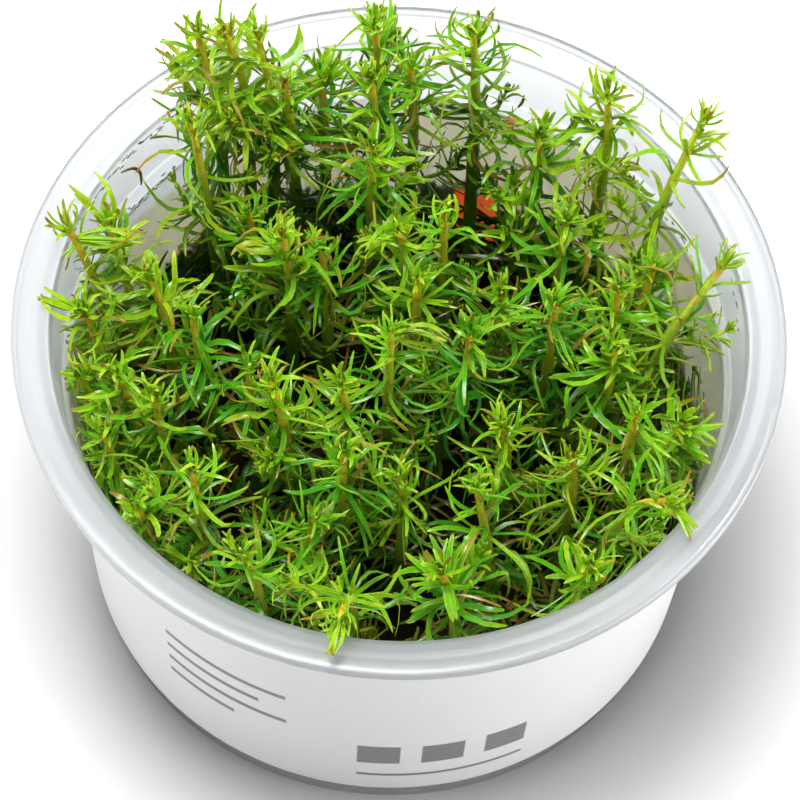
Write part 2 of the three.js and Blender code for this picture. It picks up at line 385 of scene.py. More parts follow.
def clear_plastic(tint):
    """Clear moulded plastic, a little milky, with faint rings round the flange."""
    nodes = Nodes(bpy.data.materials.new("clear_plastic"))
    ripple = nodes.noise(70.0, 2.0, 0.5)
    lines = nodes.add("ShaderNodeTexNoise", Scale=1400.0, Detail=2.0)
    lines.noise_dimensions = "1D"
    nodes.put(lines.inputs["W"], nodes.from_axis())
    height = nodes.maths("ADD", nodes.maths("MULTIPLY", lines.outputs["Fac"], 0.35), ripple)
    nodes.bump(height, 0.1 * MM, 0.06)
    nodes.shade(Base_Color=(*tint, 1), Roughness=0.3, IOR=1.49, Transmission_Weight=0.9)
    return nodes.owner


def around_wall(nodes, radius):
    """Distance round the wall from the front, and height, both in millimetres."""
    x, y, z = nodes.coordinates(nodes.place())
    turn = nodes.maths("ARCTAN2", x, nodes.maths("MULTIPLY", y, -1))
    return nodes.maths("MULTIPLY", turn, radius / MM), nodes.maths("MULTIPLY", z, 1 / MM)


def within(nodes, value, low, high):
    """1 between low and high, with a soft edge of a tenth of a millimetre."""
    soft = 0.1
    above = nodes.remap(value, low - soft, low + soft)
    below = nodes.remap(value, high + soft, high - soft)
    return nodes.maths("MULTIPLY", above, below)


def print_mask(nodes, around, height, blocks):
    """1 inside any of the blocks, each given by its ends round the wall and its heights."""
    mask = 0.0
    for left, right, low, high in blocks:
        block = nodes.maths("MULTIPLY", within(nodes, around, left, right), within(nodes, height, low, high))
        mask = nodes.maths("MAXIMUM", block, mask)
    return mask


# Plain blocks that stand where the film is printed. Each has its left and right end round the wall from the
# front, and its lower and upper edge, in millimetres.
GREY_BLOCKS = (
    (-31.0, -12.0, 30.5, 31.6),
    (-31.0, -16.0, 26.5, 27.6),
    (-31.0, -12.0, 22.5, 23.6),
    (-31.0, -20.0, 18.5, 19.6),
    (-2.0, 4.0, 14.0, 20.0),
    (7.0, 13.0, 14.0, 20.0),
    (16.0, 22.0, 14.0, 20.0),
    (-2.0, 22.0, 9.5, 10.3),
)
ORANGE_BLOCKS = (
    (124.4, 131.0, 16.0, 26.5),
    (123.5, 125.0, 42.0, 45.0),
)
PINK_BLOCKS = ((38.5, 39.5, 34.0, 41.0),)


def label_outside(colour):
    """Pale satin film with plain grey, orange and pink blocks."""
    nodes = Nodes(bpy.data.materials.new("label_outside"))
    around, height = around_wall(nodes, LABEL_HIGH.x)
    grain = nodes.noise(900.0, 3.0, 0.6)
    paper = nodes.blend(nodes.remap(grain, 0.3, 0.7, 0.0, 0.1), tuple(colour), (0.5, 0.5, 0.52))
    ink = nodes.blend(grain, (0.13, 0.13, 0.13), (0.2, 0.2, 0.2))
    for blocks, colour in (
        (GREY_BLOCKS, ink), (ORANGE_BLOCKS, (0.75, 0.2, 0.08)), (PINK_BLOCKS, (0.72, 0.5, 0.46)),
    ):
        paper = nodes.blend(print_mask(nodes, around, height, blocks), paper, colour)
    nodes.shade(Base_Color=paper, Roughness=0.42)
    return nodes.owner


def label_inside():
    """The back of the film as it shows through the wall.

    It is mottled beige, white above a slanting edge at the left, and nearly black low down, painted shade
    behind the wet leaves that cling there. It glows with its own colour, painted light that stands in for
    light through the film.
    """
    nodes = Nodes(bpy.data.materials.new("label_inside"))
    around, height = around_wall(nodes, LABEL_HIGH.x)
    patches = nodes.noise(160.0, 4.0, 0.6, nodes.stretch((1.0, 1.0, 0.6)))
    colour = nodes.ramp(patches, [
        (0.36, (0.6, 0.56, 0.37)), (0.55, (0.74, 0.7, 0.5)), (0.72, (0.5, 0.45, 0.28)),
    ])
    spots = nodes.noise(420.0, 2.0, 0.5, nodes.stretch((1.0, 1.0, 0.35)))
    colour = nodes.blend(nodes.remap(spots, 0.6, 0.68, 0.0, 0.5), colour, (0.24, 0.25, 0.14))
    slant = nodes.remap(around, -131.0, -88.0, 35.0, 43.6)
    above = nodes.remap(nodes.maths("SUBTRACT", height, slant), -0.4, 0.4)
    white = nodes.maths("MULTIPLY", above, nodes.remap(around, -70.0, -76.0))
    colour = nodes.blend(white, colour, (0.86, 0.87, 0.87))
    # Painted shade: nearly black below a ragged edge between 21 and 32 mm high.
    ragged = nodes.noise(330.0, 5.0, 0.65, nodes.stretch((1.0, 1.0, 0.5)))
    depth = nodes.maths("SUBTRACT", height, nodes.remap(ragged, 0.3, 0.7, 21.0, 32.0))
    colour = nodes.blend(nodes.remap(depth, 0.8, -0.8), colour, (0.006, 0.012, 0.004))
    colour = nodes.blend(print_mask(nodes, around, height, ORANGE_BLOCKS), colour, (0.8, 0.1, 0.02))
    # Painted light: the face glows with its own colour, standing in for light through the film.
    nodes.shade(Base_Color=colour, Roughness=0.6, Emission_Color=colour, Emission_Strength=1.0)
    nodes.owner.cycles.emission_sampling = "NONE"
    return nodes.owner


def gel_material():
    """Wet set gel, painted nearly black for the shade of the stems over it, with brownish patches for roots
    and shed leaves where it shows between them.
    """
    nodes = Nodes(bpy.data.materials.new("growing_gel"))
    clumps = nodes.noise(260.0, 5.0, 0.6)
    # Painted shade: the colours run from near black to a dark brown.
    colour = nodes.ramp(clumps, [
        (0.35, (0.004, 0.005, 0.002)), (0.6, (0.015, 0.012, 0.004)), (0.75, (0.05, 0.028, 0.01)),
    ])
    nodes.bump(clumps, 0.6 * MM, 0.6)
    nodes.shade(Base_Color=colour, Roughness=0.85, Specular_IOR_Level=0.05)
    return nodes.owner


def leaf_material(plant):
    """Yellow-green at the growing tip, greener and then dark down the stem, near black low in the cup as
    painted shade.
    """
    nodes = Nodes(bpy.data.materials.new("leaf"))
    age_and_shade, sort, dry, hue, run, edge = (nodes.attribute(name) for name in LEAF_VALUES)
    young, grown, old_in_shade = tuple(plant.young), tuple(plant.grown), tuple(plant.old_in_shade)
    # The darkest stops are painted shade for leaves deep in the cup.
    green = nodes.ramp(age_and_shade, [(0.0, young), (0.3, grown), (0.58, (0.016, 0.16, 0.004)), (1.0, old_in_shade)])
    green = nodes.blend(nodes.remap(hue, 0.5, 1.0, 0.0, 0.75), green, (0.46, 0.58, 0.012))
    green = nodes.blend(nodes.remap(hue, 0.5, 0.0, 0.0, 0.75), green, (0.03, 0.34, 0.012))
    pale_end = nodes.remap(run, 0.72, 1.0, 0.0, 0.7)
    pale_end = nodes.maths("MULTIPLY", pale_end, nodes.remap(age_and_shade, 0.0, 0.8, 1.0, 0.1))
    green = nodes.blend(pale_end, green, (0.58, 0.6, 0.05))
    rust = nodes.maths("MULTIPLY", nodes.remap(run, 0.45, 0.95), nodes.remap(sort, 0.86, 0.93), clamp=True)
    green = nodes.blend(rust, green, (0.33, 0.1, 0.02))
    # Paler margins on young leaves: partly their own colour, partly painted light through the thin edges.
    rim = nodes.maths("MULTIPLY", nodes.remap(edge, 0.6, 1.0, 0.0, 0.6), nodes.remap(age_and_shade, 0.0, 0.7, 1.0, 0.1))
    green = nodes.blend(rim, green, (0.42, 0.7, 0.04))
    green = nodes.blend(nodes.remap(edge, 0.45, 0.0, 0.0, 0.4), green, (0.07, 0.3, 0.004))
    mottle = nodes.noise(1500.0, 1.0, 0.6)
    green = nodes.blend(nodes.remap(mottle, 0.35, 0.75, 0.0, 0.4), green, (0.06, 0.2, 0.006))
    brown = nodes.blend(mottle, (0.24, 0.1, 0.012), (0.4, 0.25, 0.04))
    green = nodes.blend(dry, green, brown)
    nodes.shade(Base_Color=green, Roughness=0.24, Specular_IOR_Level=0.28)
    return nodes.owner


def stem_material():
    """Orange-yellow under the tip, olive below, dark green at the foot, the lowest part darkened by painted
    shade, with a faint painted glow that lightens it.
    """
    nodes = Nodes(bpy.data.materials.new("stem"))
    age_and_shade = nodes.attribute("age_and_shade")
    streaks = nodes.noise(1.0, 1.0, 0.6, nodes.stretch((2200, 2200, 260)))
    place = nodes.maths("ADD", age_and_shade, nodes.remap(nodes.attribute("sort"), 0.0, 1.0, 0.0, 0.25))
    colour = nodes.ramp(place, [
        (0.0, (0.72, 0.3, 0.02)), (0.1, (0.7, 0.5, 0.025)), (0.4, (0.46, 0.56, 0.03)),
        (0.72, (0.24, 0.4, 0.02)), (1.0, (0.07, 0.18, 0.01)),
    ])
    knots = nodes.maths("MULTIPLY", nodes.attribute("run"), nodes.remap(age_and_shade, 0.1, 0.6, 0.8, 0.0))
    colour = nodes.blend(knots, colour, (0.58, 0.2, 0.02))
    colour = nodes.blend(nodes.remap(streaks, 0.35, 0.7, 0.0, 0.5), colour, (0.16, 0.26, 0.012))
    nodes.bump(streaks, 0.08 * MM, 0.5)
    # Painted light: a faint glow, strongest under the tip, that lightens the stem.
    painted_glow = nodes.remap(age_and_shade, 0.1, 0.8, 0.14, 0.02)
    nodes.shade(Base_Color=colour, Roughness=0.35, Emission_Color=colour, Emission_Strength=painted_glow)
    nodes.owner.cycles.emission_sampling = "NONE"
    return nodes.owner


# Cup, label and gel

BASE_ROUNDING = 0.5 * MM
FLOOR_THICKNESS = 1.2 * MM
SHOULDER_RISE = 2.0 * MM
COLLAR_FLARE = 1.0 * MM
MOUTH_ROUNDING = 0.8 * MM
FLANGE_THICKNESS = 0.9 * MM
SKIRT_THICKNESS = 0.8 * MM
SKIRT_DEPTH = 1.8 * MM
RIM_WIDTH = 2.0 * MM
RIM_FOOT = 3.4 * MM
RIM_RISE = 0.5 * MM
EDGE_ROUNDING = 0.25 * MM
FILM_THICKNESS = 0.25 * MM
GEL_EDGE_WIDTH = 0.9 * MM
GEL_EDGE_RISE = 0.5 * MM
GEL_RINGS = (0.97, 0.85, 0.7, 0.55, 0.4, 0.25, 0.1)


def wall_radius(cup, height):
    """Outer radius of the wall at a height up to the shoulder."""
    share = min(height, cup.shoulder_height) / cup.shoulder_height
    return cup.base_radius + (cup.shoulder_radius - cup.base_radius) * share


def inside_radius(cup, height):
    """Radius of the inner face of the wall, shoulder and collar."""
    mouth = CUP_HIGH.z - RIM_RISE - MOUTH_ROUNDING
    heights = [FLOOR_THICKNESS, cup.shoulder_height, cup.shoulder_height + SHOULDER_RISE, mouth]
    radii = [cup.base_radius, cup.shoulder_radius, cup.collar_radius, cup.collar_radius + COLLAR_FLARE]
    return np.interp(height, heights, radii) - cup.wall


def on_wall(cup, degrees, height, clear=0.0):
    """A point on the wall's inner face: turn towards +X in degrees, and height in millimetres."""
    turn = math.radians(degrees)
    radius = inside_radius(cup, height * MM) - clear
    return np.array([radius * math.sin(turn), -radius * math.cos(turn), height * MM])


class GROWCUP_OT_cup(bpy.types.Operator):
    """Spins the clear cup with its flange, collar, shoulder and tapered wall"""

    bl_idname = "growcup.cup"
    bl_label = "Clear Cup"

    def execute(self, context):
        cup = context.scene.growcup_cup
        top, radius = CUP_HIGH.z, CUP_HIGH.x
        shoulder_top = cup.shoulder_height + SHOULDER_RISE
        collar_top = cup.collar_radius + COLLAR_FLARE
        flange_top = top - RIM_RISE
        outside = [
            (0, 0),
            (cup.base_radius - BASE_ROUNDING, 0),
            (cup.base_radius, BASE_ROUNDING),
            (cup.shoulder_radius, cup.shoulder_height),
            (cup.collar_radius, shoulder_top),
            (collar_top, flange_top - FLANGE_THICKNESS),
            (radius - SKIRT_THICKNESS, top - FLANGE_THICKNESS),
            (radius - SKIRT_THICKNESS, top - SKIRT_DEPTH),
            (radius, top - SKIRT_DEPTH),
        ]
        inside = [
            (radius, top),
            (radius - RIM_WIDTH, top),
            (radius - RIM_FOOT, flange_top),
            (collar_top - cup.wall + MOUTH_ROUNDING, flange_top),
            (collar_top - cup.wall, flange_top - MOUTH_ROUNDING),
            (cup.collar_radius - cup.wall, shoulder_top),
            (cup.shoulder_radius - cup.wall, cup.shoulder_height),
            (cup.base_radius - cup.wall, FLOOR_THICKNESS),
            (0, FLOOR_THICKNESS),
        ]
        piece = turned("clear_cup", outside + inside, cup.steps)
        bevel(piece, EDGE_ROUNDING, 3, 12)
        hand_over(piece, [clear_plastic(tuple(cup.tint))], 35, "clear_plastic", "cup")
        return {"FINISHED"}


class GROWCUP_OT_label(bpy.types.Operator):
    """Spins the film band round the wall, with its printed outside and plain inside"""

    bl_idname = "growcup.label"
    bl_label = "Label Band"

    def execute(self, context):
        cup = context.scene.growcup_cup
        low, high = LABEL_LOW.z, LABEL_HIGH.z
        outer_high = LABEL_HIGH.x
        outer_low = outer_high - (wall_radius(cup, high) - wall_radius(cup, low))
        profile = [
            (outer_low - FILM_THICKNESS, low),
            (outer_low, low),
            (outer_high, high),
            (outer_high - FILM_THICKNESS, high),
            (outer_low - FILM_THICKNESS, low),
        ]
        piece = turned("label_band", profile, cup.steps)
        hand_over(piece, [label_outside(tuple(cup.label_colour)), label_inside()], 35, "label_film", "label")
        for face in piece.data.polygons:
            outwards = face.normal.x * face.center.x + face.normal.y * face.center.y
            face.material_index = 0 if outwards > 0 else 1
        return {"FINISHED"}


class GROWCUP_OT_gel(bpy.types.Operator):
    """Spins the layer of set gel, with its edge drawn up against the wall"""

    bl_idname = "growcup.gel"
    bl_label = "Growing Gel"

    def execute(self, context):
        cup = context.scene.growcup_cup
        low, high, radius = GEL_LOW.z, GEL_HIGH.z, GEL_HIGH.x
        level = high - GEL_EDGE_RISE
        rings = [(radius * share, level) for share in GEL_RINGS]
        profile = [(0, low), (radius - GEL_EDGE_WIDTH, low), (radius, high), *rings, (0, level)]
        piece = turned("wet_gel", profile, cup.steps)
        hand_over(piece, [gel_material()], 40, "gel", "growing_gel")
        return {"FINISHED"}


# Water drops

# The lines in which drops hang on the wall: turn and height at both ends, in degrees and millimetres, and how
# many drops.
DROP_LINES = (
    (-134.0, 56.0, -111.0, 56.2, 26),
    (-132.0, 46.6, -116.0, 46.6, 20),
    (-163.0, 50.5, -157.0, 55.5, 12),
    (-150.0, 53.0, -139.0, 51.0, 8),
    (118.0, 47.0, 137.0, 47.2, 12),
    (96.0, 54.5, 112.0, 56.0, 8),
)

# Half the length and height of a drop in millimetres, each from the least to the most, and half its depth.
DROP_LENGTHS = (0.2, 0.75)
DROP_HEIGHTS = (0.12, 0.28)
DROP_DEPTH = 0.12 * MM
DROP_CLEARANCE = 0.03 * MM


def water_material():
    nodes = Nodes(bpy.data.materials.new("water"))
    # Painted shade: the grey-blue tint darkens the drops, as the dark things seen through them would.
    nodes.shade(Base_Color=(0.5, 0.54, 0.6, 1), Roughness=0.02, IOR=1.33, Transmission_Weight=1.0)
    return nodes.owner


class GROWCUP_OT_drops(bpy.types.Operator):
    """Hangs flat water drops on the inner face of the wall"""

    bl_idname = "growcup.drops"
    bl_label = "Water Drops"

    def execute(self, context):
        cup = context.scene.growcup_cup
        draw = np.random.default_rng(context.scene.growcup_plant.seed)
        deselect_all()
        bpy.ops.mesh.primitive_uv_sphere_add(segments=12, ring_count=8, radius=1, location=(0, 0, 0))
        template = edit_new("drop_template")
        close_edit()
        shape = np.array([vertex.co[:] for vertex in template.data.vertices])
        faces = [tuple(face.vertices) for face in template.data.polygons]
        bpy.data.objects.remove(template)
        drops = []
        for first_turn, first_height, last_turn, last_height, count in DROP_LINES:
            for share in np.linspace(0, 1, count):
                degrees = first_turn + (last_turn - first_turn) * share + draw.normal(0, 0.25)
                height = first_height + (last_height - first_height) * share + draw.normal(0, 0.35)
                points = self.drop(cup, draw, degrees, height, shape)
                drops.append((points, np.zeros((len(points), 1)), faces))
        points, _, faces, _ = joined(drops)
        piece = mesh_piece("water_drops", points, faces)
        hand_over(piece, [water_material()], 180, "clear_plastic")
        return {"FINISHED"}

    def drop(self, cup, draw, degrees, height, shape):
        """The points of one flat drop that leans a little out of the level."""
        long, tall = draw.uniform(*DROP_LENGTHS) * MM, draw.uniform(*DROP_HEIGHTS) * MM
        turn, lean = math.radians(degrees), draw.normal(0, 0.3)
        round_wall, inwards = level_heading(turn), level_heading(turn + math.pi / 2)
        across = round_wall * math.cos(lean) + UP * math.sin(lean)
        along = UP * math.cos(lean) - round_wall * math.sin(lean)
        axes = np.stack([across * long, along * tall, inwards * DROP_DEPTH])
        return on_wall(cup, degrees, height, DROP_DEPTH + DROP_CLEARANCE) + shape @ axes


# Shoots

# The values that each point of a leaf or stem carries for its material.
LEAF_VALUES = ("age_and_shade", "sort", "dry", "hue", "run", "edge")

# A leaf's outline: places along its length, and its share of the full width there.
LEAF_STATIONS = (0.0, 0.12, 0.3, 0.5, 0.7, 0.88, 0.97, 1.0)
LEAF_WIDTHS = (0.6, 0.85, 0.98, 1.0, 0.96, 0.8, 0.52, 0.08)

# How leaves change with their depth below the tip in millimetres: rise in degrees, share of the full length,
# how uneven their rise is in degrees, how much they bow, and how much they curl. Down to EVEN_DEPTH whorls
# are even and full.
EVEN_DEPTH = 3
REACH_DEPTHS = (0, 1.5, 3.5, 6, 10, 20, 34)
LEAF_RISES = (78, 52, 32, 16, 2, -14, -28)
LEAF_REACHES = (0.36, 0.45, 0.62, 0.85, 1.0, 1.0, 0.8)
LOOSE_DEPTHS = (0, 4, 12)
LOOSE_RISES = (6, 14, 24)
BOW_DEPTHS = (0, 3, 8, 20)
LEAF_BOWS = (-0.05, 0.0, 0.08, 0.12)
CURL_DEPTHS = (0, 4, 13)
LEAF_CURLS = (0.04, 0.11, 0.18)
CURL_LIMIT = 0.28

# How broad and how curly the leaves of a shoot are beside others, from the least to the most.
BROADNESS = (0.75, 1.25)
CURLINESS = (0.6, 1.9)

# The share of thin leaves and their share of the width, the share of dry leaves, and the shortest leaf.
THIN_LEAVES = 0.26
THIN_WIDTH = 0.42
DRY_LEAVES = 0.018
SHORTEST_LEAF = 1.2 * MM

# A stem's radius as a share of the radius near its foot, by depth below the tip in millimetres. It swells to
# a knot at each whorl.
STEM_DEPTHS = (0, 0.8, 3, 10, 26, 45)
STEM_RADII = (0.2, 0.42, 0.5, 0.66, 0.92, 1.05)
KNOT_SWELL = 0.22
KNOT_LENGTH = 0.7 * MM
STEM_RING_SPACING = 1.2 * MM
STEM_SAMPLES = 64
STEM_SMOOTHING = 14

# Where leaves and stems start to darken, and over what height they turn to the darkest, or over what depth
# below the tip in millimetres. The darkening is partly age and partly painted shade deep in the cup.
LEAF_SHADE_TOP, LEAF_SHADE_HEIGHT, LEAF_SHADE_DEPTH = 47 * MM, 21 * MM, 30
STEM_SHADE_TOP, STEM_SHADE_HEIGHT, STEM_SHADE_DEPTH = 44 * MM, 28 * MM, 34

# How far leaf tips keep above the rim, off the wall and inside the box. A leaf that starts near the rim goes
# over it, and any other is drawn back step by step.
OVER_RIM = 0.8 * MM
NEAR_RIM = 3.5 * MM
OFF_WALL = 0.4 * MM
OFF_SIDES = 0.3 * MM
OFF_TOP = 0.2 * MM
DRAW_BACK = 0.88
DRAW_BACK_STEPS = 12

# How far the points of curved leaves keep off the wall, and how far above the rim that holds.
POINTS_OFF_WALL = 0.15 * MM
POINTS_OVER_RIM = 0.1 * MM

# The bare stretch of most shoots: between which heights, from which depth in millimetres, and the share of
# whorls without leaves there.
BARE_LOW, BARE_HIGH = 27 * MM, 44 * MM
BARE_DEPTH = 12
BARE_SHARE = 0.6

# Fans of leaves that lean on the wall: depths below the tip in millimetres. They grow on shoots whose tip is
# this far out, not this far back and not this high.
WALL_FAN_DEPTHS = (3.5, 7.0, 10.0, 14.0)
WALL_FAN_OUT, WALL_FAN_BACK, WALL_FAN_HEIGHT = 28 * MM, 16 * MM, 60 * MM

# The leaves closed round a growing tip: how many, how far below it they start, their length, and their rise
# in degrees.
BUD_LEAVES = 4
BUD_DEPTH = 1.2 * MM
BUD_LENGTH = 2.6 * MM
BUD_RISES = (68, 84)

# Short side shoots: depths below the tip in millimetres, least stem below them, radius as a share of the main
# stem's, and their rise in degrees before and after the bend.
SIDE_SHOOT_DEPTHS = (14, 30)
SIDE_SHOOT_STEM = 12 * MM
SIDE_SHOOT_RADIUS = 0.62
SIDE_SHOOT_RISE, SIDE_SHOOT_BENT = 25, 62

# How far a shoot's foot goes into the gel below that of its solid.
FOOT_DEPTH = 1.2 * MM

# The lane free of leaves through which the orange block is seen.
LANE_START = np.array([8.7, 39.9, 21.5]) * MM
LANE_END = np.array([8.0, 10.6, 68.0]) * MM
LANE_RADIUS = 2.2 * MM

# The next five tables are by the place of a shoot, which its node's name ends in.

# How dry and how dark the closed leaves round a growing tip are, where they are brown or pale.
BUDS = {
    "back_left_2": (0.7, 0.2), "back_left_3": (0.5, 0.1), "back_left_5": (0.9, 0.2),
    "back_right_2": (0.5, 0.4), "left_1": (0.6, 0.8), "left_3": (0.8, 0.5),
    "centre_2": (0.9, 0.0), "right_7": (0.8, 0.3),
}

# How green (0) or yellow (1) a shoot is, where that differs from the middle tone of 0.5.
HUES = {
    "back_left_1": 0.78, "back_left_2": 0.85, "back_left_3": 0.75, "back_left_4": 0.7,
    "left_1": 0.75, "left_2": 0.75, "left_3": 0.7, "left_4": 0.7,
    "back_right_1": 0.85, "back_right_2": 0.85, "right_1": 0.85, "right_7": 0.7,
    "left_9": 0.1, "centre_1": 0.2, "centre_3": 0.2, "centre_10": 0.15,
    "right_2": 0.25, "back_5": 0.7, "front_3": 0.7,
}

# How green a stem is under its tip: 0 starts it orange, 1 green. Any other stem is the greener the curlier
# its leaves are, up to 0.5.
GREEN_STEMS = {
    "right_1": 1.0, "back_right_2": 0.9, "back_5": 0.9, "left_1": 0.0, "centre_12": 0.0,
}

# The share of a shoot's whorls that have dropped, where it isn't the usual few.
DROPPED = {
    "right_1": 0.7, "back_right_1": 0.35, "back_right_2": 0.5, "back_5": 0.2,
    "back_left_1": 0.5, "back_left_2": 0.6, "back_left_3": 0.5, "back_left_4": 0.4,
    "back_1": 0.5, "back_2": 0.4,
}
FEW_DROPPED = 0.1

# The least share of the whorls that have dropped between those of the solid shoot.
DROPPED_BETWEEN = 0.35

# Leaves that stick together wet in a fan: depth below the tip in millimetres, direction from +X and rise in
# degrees, length in millimetres, count and dryness.
FANS = {
    "left_1": (3.4, 0, 6, 9.6, 7, 0.25),
    "centre_2": (4.2, 183, 2, 7.4, 5, 0.35),
    "left_9": (4.5, -57, -56, 10.0, 3, 0.0),
    "left_3": (6.0, -135, -35, 11.0, 3, 0.0),
    "centre_9": (1.8, -8, 4, 7.6, 6, 0.4),
    "back_4": (7.0, 175, 8, 9.0, 4, 0.1),
    "back_right_1": (8.0, -110, -30, 9.0, 3, 0.0),
    "right_4": (5.0, 190, 5, 9.0, 4, 0.0),
    "front_3": (0.8, -100, -8, 6.5, 6, 0.0),
    "front_7": (1.2, -50, -4, 6.0, 6, 0.3),
    "left_4": (1.0, 180, 22, 6.5, 6, 0.0),
    "left_5": (1.0, 190, 35, 6.5, 4, 0.0),
}


def leaf_template():
    """One leaf of unit length along X and unit half-width along Y, as arrays of points and faces."""
    deselect_all()
    bpy.ops.mesh.primitive_cylinder_add(
        vertices=6, radius=1, depth=1, location=(0.5, 0, 0), rotation=(0, math.pi / 2, 0)
    )
    piece = edit_new("leaf_template")
    bpy.ops.transform.rotate(value=math.pi / 6, orient_axis="X", center_override=(0, 0, 0))
    for station in LEAF_STATIONS[1:-1]:
        bpy.ops.mesh.select_all(action="SELECT")
        bpy.ops.mesh.bisect(plane_co=(station, 0, 0), plane_no=(1, 0, 0))
    close_edit()
    place_in_mesh(piece)
    for station, width in zip(LEAF_STATIONS, LEAF_WIDTHS):
        edit_points(piece, lambda place: abs(place.x - station) < 1e-4)
        bpy.ops.transform.resize(value=(1, width, min(1, 2 * width)), center_override=(station, 0, 0))
        close_edit()
    points = np.array([vertex.co[:] for vertex in piece.data.vertices])
    points[:, 1] /= np.abs(points[:, 1]).max()
    faces = [tuple(face.vertices) for face in piece.data.polygons]
    bpy.data.objects.remove(piece)
    return points, faces


def shoot_lines(node):
    """Reads a solid shoot: its foot, its tip, and for each whorl the centre and the tips of its leaves."""
    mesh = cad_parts[node].data
    corners = np.array([vertex.co[:] for vertex in mesh.vertices])
    keys, index = np.unique(np.round(corners, 6), axis=0, return_inverse=True)
    index = index.reshape(-1)
    near = [set() for _ in keys]
    for face in mesh.polygons:
        a, b, c = (int(index[i]) for i in face.vertices)
        near[a] |= {b, c}
        near[b] |= {a, c}
        near[c] |= {a, b}
    tips = [i for i, around in enumerate(near) if len(around) == 4]
    foot = keys[keys[:, 2] < keys[:, 2].min() + 0.5 * MM].mean(axis=0)
    apex = max(range(len(keys)), key=lambda i: len(near[i]))
    whorls = []
    for tip in tips:
        shared = [whorl for whorl in whorls if any(near[tip] & near[other] for other in whorl)]
        together = [tip] + [member for whorl in shared for member in whorl]
        whorls = [whorl for whorl in whorls if whorl not in shared] + [together]
    leaves = []
    for whorl in whorls:
        ring = np.array([keys[list(near[tip] - {apex})].mean(axis=0) for tip in whorl])
        leaves.append((ring.mean(axis=0), keys[whorl]))
    leaves.sort(key=lambda entry: entry[0][2])
    if not leaves:
        raise RuntimeError(f"{node} has no leaves to dress")
    return foot, keys[apex], leaves


class Stem:
    """The smooth middle line of a stem, with its length and directions."""

    def __init__(self, points):
        points = np.array(points)
        steps = np.linalg.norm(np.diff(points, axis=0), axis=1)
        marks = np.concatenate([[0], np.cumsum(steps)])
        self.length = marks[-1]
        self.marks = np.linspace(0, self.length, STEM_SAMPLES)
        line = np.stack([np.interp(self.marks, marks, points[:, k]) for k in range(3)], axis=1)
        for _ in range(STEM_SMOOTHING):
            line[1:-1] = (line[:-2] + 2 * line[1:-1] + line[2:]) / 4
        self.line = line

    def at(self, distance):
        return np.array([np.interp(distance, self.marks, self.line[:, k]) for k in range(3)])

    def nearest(self, point):
        return self.marks[np.argmin(np.linalg.norm(self.line - point, axis=1))]

    def frame(self, distance):
        """Directions along the stem and across it."""
        step = 0.8 * MM
        along = self.at(min(distance + step, self.length)) - self.at(max(distance - step, 0))
        along /= np.linalg.norm(along)
        side = np.array([1.0, 0, 0]) - along * along[0]
        side /= np.linalg.norm(side)
        return along, side, np.cross(along, side)


def level_heading(turn):
    """The level direction at a turn from +X."""
    return np.array([math.cos(turn), math.sin(turn), 0])


def heading_from(frame_axes, angle, rise):
    """The direction of a leaf: turned round the stem by angle and raised by rise."""
    along, side, front = frame_axes
    return (side * math.cos(angle) + front * math.sin(angle)) * math.cos(rise) + along * math.sin(rise)


def keep_inside(base, tip, cup):
    """Lifts a high leaf over the rim, or draws its tip back until it clears the wall and stays in the box."""
    outwards = math.hypot(tip[0], tip[1]) > inside_radius(cup, tip[2])
    if outwards and base[2] > CUP_HIGH.z - NEAR_RIM:
        tip = np.array([tip[0], tip[1], max(tip[2], CUP_HIGH.z + 1.5 * OVER_RIM)])
    for _ in range(DRAW_BACK_STEPS):
        radius = math.hypot(tip[0], tip[1])
        in_box = max(abs(tip[0]), abs(tip[1])) < cad_high.x - OFF_SIDES and tip[2] < cad_high.z - OFF_TOP
        over_rim = tip[2] > CUP_HIGH.z + OVER_RIM
        inside = radius < inside_radius(cup, tip[2]) - OFF_WALL
        if in_box and (over_rim or inside):
            return tip
        tip = base + (tip - base) * DRAW_BACK
    return tip


def pull_inside(points, cup):
    """Moves points of curved leaves that would cross the wall back to its inner face."""
    limit = inside_radius(cup, points[:, 2]) - POINTS_OFF_WALL
    radius = np.hypot(points[:, 0], points[:, 1])
    crossing = (radius > limit) & (points[:, 2] < CUP_HIGH.z + POINTS_OVER_RIM)
    share = np.where(crossing, limit / np.maximum(radius, MM), 1.0)
    points[:, :2] *= share[:, None]
    return points


def hides_block(base, tip):
    """Whether a leaf would stand before the orange block that shows through the wall at the back."""
    along = LANE_END - LANE_START
    for share in (0.35, 0.7, 1.0):
        point = base + (tip - base) * share - LANE_START
        run = np.clip(np.dot(point, along) / np.dot(along, along), 0, 1)
        if np.linalg.norm(point - along * run) < LANE_RADIUS:
            return True
    return False


